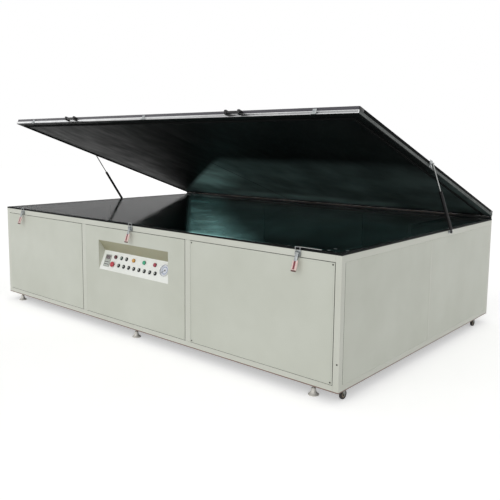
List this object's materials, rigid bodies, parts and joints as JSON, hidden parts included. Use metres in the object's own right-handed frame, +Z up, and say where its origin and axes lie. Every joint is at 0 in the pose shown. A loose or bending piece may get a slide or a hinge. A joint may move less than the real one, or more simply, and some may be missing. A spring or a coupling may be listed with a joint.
{
  "type": "screen printing exposure unit",
  "caption": "Cabinet with a glass top, a hinged vacuum lid with rubber blanket on gas struts, toggle latches, a recessed control console, levelling feet and castors.",
  "frame": {"origin": "on the floor, under the middle of the cabinet", "axes": "+X to the right along the long front, +Y towards the hinges at the back, +Z up"},
  "size_m": [3.656, 2.3782, 1.6745],
  "materials": {
    "frame_enamel": "satin",
    "panel_enamel": "satin",
    "console_enamel": "satin",
    "floor_paint": "matt",
    "plate_glass": "polished",
    "rim_paint": "satin",
    "zinc_steel": "zinc plated",
    "timer_plastic": "moulded",
    "bezel_chrome": "polished",
    "lens_plastic": "glossy",
    "gauge_steel": "satin",
    "screw_steel": "blackened",
    "foot_steel": "zinc plated",
    "reflector_aluminium": "bright",
    "lamp_ceramic": "matt",
    "box_enamel": "satin",
    "pump_iron": "painted",
    "pipe_plastic": "matt",
    "gland_plastic": "moulded",
    "lid_enamel": "satin",
    "clamp_aluminium": "brushed",
    "blanket_rubber": "smooth",
    "handle_plastic": "glossy",
    "strut_black": "glossy",
    "rod_chrome": "polished",
    "lever_red": "glossy",
    "cap_black": "moulded",
    "cap_green": "moulded",
    "cap_red": "moulded",
    "needle_black": "painted",
    "wheel_rubber": "matt"
  },
  "bodies": {
    "cabinet": {"posts": "frame_enamel", "rails": "frame_enamel", "front_panels": "panel_enamel", "centre_panel": "panel_enamel", "side_panels": "panel_enamel", "rear_panels": "panel_enamel", "floor_pan": "floor_paint", "console_tray": "console_enamel", "glass_top": "plate_glass", "glass_rim": "rim_paint", "hinge_bases": "zinc_steel", "strut_feet": "zinc_steel", "latch_bases": "zinc_steel", "timer": "timer_plastic", "button_bezels": "bezel_chrome", "pilot_lenses": "lens_plastic", "vacuum_gauge": "gauge_steel", "panel_screws": "screw_steel", "levelling_feet": "foot_steel", "castor_plates": "zinc_steel", "reflectors": "reflector_aluminium", "exposure_lamps": "lamp_ceramic", "power_box": "box_enamel", "vacuum_pump": "pump_iron", "vacuum_pipe": "pipe_plastic", "cable_gland": "gland_plastic"},
    "lid": {"lid_frame": "lid_enamel", "clamp_bars": "clamp_aluminium", "blanket": "blanket_rubber", "lid_fittings": "zinc_steel", "lid_handles": "handle_plastic", "hinge_leaves": "zinc_steel"},
    "cylinder_left": {"strut_cylinder_left": "strut_black"},
    "rod_left": {"strut_rod_left": "rod_chrome"},
    "cylinder_right": {"strut_cylinder_right": "strut_black"},
    "rod_right": {"strut_rod_right": "rod_chrome"},
    "lever_left": {"latch_lever_left": "lever_red"},
    "bail_left": {"latch_bail_left": "zinc_steel"},
    "lever_middle": {"latch_lever_middle": "lever_red"},
    "bail_middle": {"latch_bail_middle": "zinc_steel"},
    "lever_right": {"latch_lever_right": "lever_red"},
    "bail_right": {"latch_bail_right": "zinc_steel"},
    "push_button_1": {"button_1": "cap_black"},
    "push_button_2": {"button_2": "cap_black"},
    "push_button_3": {"button_3": "cap_black"},
    "push_button_4": {"button_4": "cap_black"},
    "push_button_5": {"button_5": "cap_black"},
    "push_button_6": {"button_6": "cap_black"},
    "push_button_7": {"button_7": "cap_black"},
    "push_button_8": {"button_8": "cap_black"},
    "start": {"start_button": "cap_green"},
    "reset": {"reset_button": "cap_black"},
    "stop": {"stop_button": "cap_red"},
    "needle": {"gauge_needle": "needle_black"},
    "fork_left": {"castor_fork_left": "zinc_steel"},
    "wheel_front_left": {"front_wheel_left": "wheel_rubber"},
    "wheel_rear_left": {"rear_wheel_left": "wheel_rubber"},
    "fork_right": {"castor_fork_right": "zinc_steel"},
    "wheel_front_right": {"front_wheel_right": "wheel_rubber"},
    "wheel_rear_right": {"rear_wheel_right": "wheel_rubber"}
  },
  "joints": [
    {"name": "lid_hinge", "type": "hinge", "parent": "cabinet", "child": "lid", "pos_m": [0, 1.158, 0.885], "axis": [-1, 0, 0], "range_deg": [-18.8, 0], "stiffness_Nm_per_rad": 700, "springref_deg": 85.94},
    {"name": "strut_left_pivot", "type": "hinge", "parent": "cabinet", "child": "cylinder_left", "pos_m": [-1.816, 0.202, 0.845], "axis": [1, 0, 0], "range_deg": [0, 46.53]},
    {"name": "strut_left_slide", "type": "slide", "parent": "cylinder_left", "child": "rod_left", "axis": [0, -0.5729, 0.8197], "range_m": [-0.18146, 0]},
    {"name": "strut_right_pivot", "type": "hinge", "parent": "cabinet", "child": "cylinder_right", "pos_m": [1.816, 0.287, 0.845], "axis": [1, 0, 0], "range_deg": [0, 44.71]},
    {"name": "strut_right_slide", "type": "slide", "parent": "cylinder_right", "child": "rod_right", "axis": [0, -0.5986, 0.8011], "range_m": [-0.16191, 0]},
    {"name": "latch_left_lift", "type": "hinge", "parent": "cabinet", "child": "lever_left", "pos_m": [-1.51, -1.163, 0.838], "axis": [-1, 0, 0], "range_deg": [0, 110]},
    {"name": "bail_left_swing", "type": "hinge", "parent": "lever_left", "child": "bail_left", "pos_m": [-1.51, -1.16, 0.826], "axis": [-1, 0, 0], "range_deg": [-110.5, 0]},
    {"name": "latch_middle_lift", "type": "hinge", "parent": "cabinet", "child": "lever_middle", "pos_m": [0, -1.163, 0.838], "axis": [-1, 0, 0], "range_deg": [0, 110]},
    {"name": "bail_middle_swing", "type": "hinge", "parent": "lever_middle", "child": "bail_middle", "pos_m": [0, -1.16, 0.826], "axis": [-1, 0, 0], "range_deg": [-110.5, 0]},
    {"name": "latch_right_lift", "type": "hinge", "parent": "cabinet", "child": "lever_right", "pos_m": [1.51, -1.163, 0.838], "axis": [-1, 0, 0], "range_deg": [0, 110]},
    {"name": "bail_right_swing", "type": "hinge", "parent": "lever_right", "child": "bail_right", "pos_m": [1.51, -1.16, 0.826], "axis": [-1, 0, 0], "range_deg": [-110.5, 0]},
    {"name": "button_1_press", "type": "slide", "parent": "cabinet", "child": "push_button_1", "axis": [0, 0.9191, -0.3939], "range_m": [0, 0.0035], "stiffness_N_per_m": 600, "springref_m": -0.0005},
    {"name": "button_2_press", "type": "slide", "parent": "cabinet", "child": "push_button_2", "axis": [0, 0.9191, -0.3939], "range_m": [0, 0.0035], "stiffness_N_per_m": 600, "springref_m": -0.0005},
    {"name": "button_3_press", "type": "slide", "parent": "cabinet", "child": "push_button_3", "axis": [0, 0.9191, -0.3939], "range_m": [0, 0.0035], "stiffness_N_per_m": 600, "springref_m": -0.0005},
    {"name": "button_4_press", "type": "slide", "parent": "cabinet", "child": "push_button_4", "axis": [0, 0.9191, -0.3939], "range_m": [0, 0.0035], "stiffness_N_per_m": 600, "springref_m": -0.0005},
    {"name": "button_5_press", "type": "slide", "parent": "cabinet", "child": "push_button_5", "axis": [0, 0.9191, -0.3939], "range_m": [0, 0.0035], "stiffness_N_per_m": 600, "springref_m": -0.0005},
    {"name": "button_6_press", "type": "slide", "parent": "cabinet", "child": "push_button_6", "axis": [0, 0.9191, -0.3939], "range_m": [0, 0.0035], "stiffness_N_per_m": 600, "springref_m": -0.0005},
    {"name": "button_7_press", "type": "slide", "parent": "cabinet", "child": "push_button_7", "axis": [0, 0.9191, -0.3939], "range_m": [0, 0.0035], "stiffness_N_per_m": 600, "springref_m": -0.0005},
    {"name": "button_8_press", "type": "slide", "parent": "cabinet", "child": "push_button_8", "axis": [0, 0.9191, -0.3939], "range_m": [0, 0.0035], "stiffness_N_per_m": 600, "springref_m": -0.0005},
    {"name": "start_press", "type": "slide", "parent": "cabinet", "child": "start", "axis": [0, 0.9191, -0.3939], "range_m": [0, 0.0035], "stiffness_N_per_m": 600, "springref_m": -0.0005},
    {"name": "reset_press", "type": "slide", "parent": "cabinet", "child": "reset", "axis": [0, 0.9191, -0.3939], "range_m": [0, 0.0035], "stiffness_N_per_m": 600, "springref_m": -0.0005},
    {"name": "stop_press", "type": "slide", "parent": "cabinet", "child": "stop", "axis": [0, 0.9191, -0.3939], "range_m": [0, 0.0035], "stiffness_N_per_m": 600, "springref_m": -0.0005},
    {"name": "gauge_needle_turn", "type": "hinge", "parent": "cabinet", "child": "needle", "pos_m": [0.33, -1.11573, 0.55997], "axis": [0, -0.9191, 0.3939], "range_deg": [-250, 0], "stiffness_Nm_per_rad": 0.002, "springref_deg": 5.73},
    {"name": "castor_left_swivel", "type": "hinge", "parent": "cabinet", "child": "fork_left", "pos_m": [-1.766, -0.73, 0.06], "axis": [0, 0, 1], "continuous": true},
    {"name": "front_wheel_left_roll", "type": "hinge", "parent": "fork_left", "child": "wheel_front_left", "pos_m": [-1.766, -0.71, 0.031], "axis": [1, 0, 0], "continuous": true},
    {"name": "castor_right_swivel", "type": "hinge", "parent": "cabinet", "child": "fork_right", "pos_m": [1.766, -1.065, 0.06], "axis": [0, 0, 1], "continuous": true},
    {"name": "front_wheel_right_roll", "type": "hinge", "parent": "fork_right", "child": "wheel_front_right", "pos_m": [1.766, -1.045, 0.031], "axis": [1, 0, 0], "continuous": true},
    {"name": "rear_wheel_left_roll", "type": "hinge", "parent": "cabinet", "child": "wheel_rear_left", "pos_m": [-1.766, 0.934, 0.031], "axis": [1, 0, 0], "continuous": true},
    {"name": "rear_wheel_right_roll", "type": "hinge", "parent": "cabinet", "child": "wheel_rear_right", "pos_m": [1.766, 0.934, 0.031], "axis": [1, 0, 0], "continuous": true}
  ],
  "couplings": [
    {"joint": "strut_left_pivot", "follows": "lid_hinge", "ratio": -2.4725},
    {"joint": "strut_left_slide", "follows": "lid_hinge", "m_per_rad": 0.55149},
    {"joint": "strut_right_pivot", "follows": "lid_hinge", "ratio": -2.3757},
    {"joint": "strut_right_slide", "follows": "lid_hinge", "m_per_rad": 0.49193},
    {"joint": "bail_left_swing", "follows": "latch_left_lift", "ratio": -1},
    {"joint": "bail_middle_swing", "follows": "latch_middle_lift", "ratio": -1},
    {"joint": "bail_right_swing", "follows": "latch_right_lift", "ratio": -1}
  ]
}
